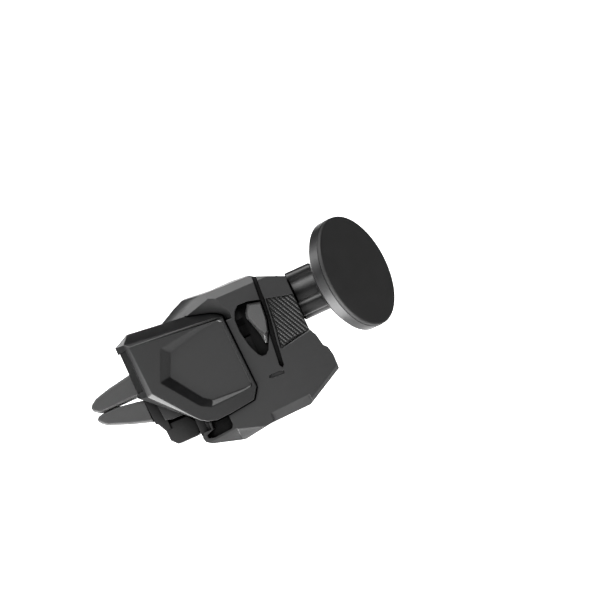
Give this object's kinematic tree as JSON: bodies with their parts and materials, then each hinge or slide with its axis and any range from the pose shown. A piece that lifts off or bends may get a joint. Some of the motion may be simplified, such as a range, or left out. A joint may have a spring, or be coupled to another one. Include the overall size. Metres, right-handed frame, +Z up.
{
  "type": "air vent phone holder",
  "caption": "Clip-on phone holder for a car air vent: padded jaws grip a vent blade, side keys open them, and a magnetic disc on a ball joint holds the phone.",
  "frame": {"origin": "the point between the padded jaws where they pinch the vent blade", "axes": "+Y into the vent, +Z up, +X to the driver's right when facing the vent"},
  "size_m": [0.0387, 0.0956, 0.0476],
  "materials": {
    "housing_plastic": "fine spark-eroded texture, black",
    "cover_plastic": "fine spark-eroded texture, black",
    "panel_plastic": "diagonal woven ribs, black",
    "key_plastic": "satin, dark grey",
    "jaw_plastic": "satin, black",
    "jaw_rubber": "soft matt, dark grey",
    "pad_rubber": "matt black",
    "head_rubber": "soft matt, dark grey",
    "head_plastic": "fine spark-eroded texture, black",
    "nut_plastic": "satin, black",
    "joint_nylon": "satin, black",
    "seat_nylon": "natural nylon",
    "yoke_nylon": "satin, black",
    "carrier_plastic": "satin, black",
    "stud_metal": "turned, blackened",
    "steel_pin": "ground",
    "spring_steel": "drawn wire",
    "zinc_screw": "zinc plated",
    "plate_steel": "zinc plated sheet",
    "magnet_nickel": "nickel plated"
  },
  "bodies": {
    "housing": {"left_body_shell": "housing_plastic", "right_body_shell": "housing_plastic", "body_screws": "zinc_screw", "left_grip_panel": "panel_plastic", "right_grip_panel": "panel_plastic", "left_side_cover": "cover_plastic", "right_side_cover": "cover_plastic", "left_end_pad": "pad_rubber", "right_end_pad": "pad_rubber", "cover_screws": "zinc_screw", "jaw_pins": "steel_pin", "socket_post": "joint_nylon", "key_spring": "spring_steel", "jaw_spring": "spring_steel"},
    "keys": {"left_release_key": "key_plastic", "right_release_key": "key_plastic", "key_yoke": "yoke_nylon"},
    "upper_jaw_lever": {"upper_jaw": "jaw_plastic", "upper_jaw_sleeve": "jaw_rubber"},
    "lower_jaw_lever": {"lower_jaw": "jaw_plastic", "lower_jaw_sleeve": "jaw_rubber"},
    "nut": {"lock_nut": "nut_plastic"},
    "ball_liner": {"ball_seat": "seat_nylon"},
    "ball": {"ball_stud": "stud_metal"},
    "head": {"head_back_shell": "head_plastic", "steel_plate": "plate_steel", "magnet_carrier": "carrier_plastic", "magnets": "magnet_nickel", "head_screws": "zinc_screw", "front_pad": "head_rubber"}
  },
  "joints": [
    {"name": "key_slide", "type": "slide", "parent": "housing", "child": "keys", "axis": [0, 1, 0], "range_m": [0, 0.0025], "stiffness_N_per_m": 600, "springref_m": -0.003, "deforming": ["key_spring"]},
    {"name": "upper_jaw_hinge", "type": "hinge", "parent": "housing", "child": "upper_jaw_lever", "pos_m": [0, -0.0175, 0.0045], "axis": [1, 0, 0], "range_deg": [0, 12], "deforming": ["jaw_spring"]},
    {"name": "lower_jaw_hinge", "type": "hinge", "parent": "housing", "child": "lower_jaw_lever", "pos_m": [0, -0.0175, -0.0055], "axis": [1, 0, 0], "range_deg": [-12, 0]},
    {"name": "nut_turn", "type": "hinge", "parent": "housing", "child": "nut", "pos_m": [0, -0.069, 0.0066], "axis": [0, -1, 0], "range_deg": [0, 120]},
    {"name": "ball_yaw", "type": "hinge", "parent": "housing", "child": "ball_liner", "pos_m": [0, -0.069, 0.0066], "axis": [0, 0, 1], "range_deg": [-1.5, 68.5]},
    {"name": "ball_pitch", "type": "hinge", "parent": "ball_liner", "child": "ball", "pos_m": [0, -0.069, 0.0066], "axis": [0.8339, -0.5519, 0], "range_deg": [-12, 12]},
    {"name": "head_spin", "type": "hinge", "parent": "ball", "child": "head", "pos_m": [0, -0.069, 0.0066], "axis": [-0.5519, -0.8339, 0], "continuous": true}
  ],
  "couplings": [
    {"joint": "upper_jaw_hinge", "follows": "key_slide", "rad_per_m": 83.7},
    {"joint": "lower_jaw_hinge", "follows": "key_slide", "rad_per_m": -83.7}
  ]
}
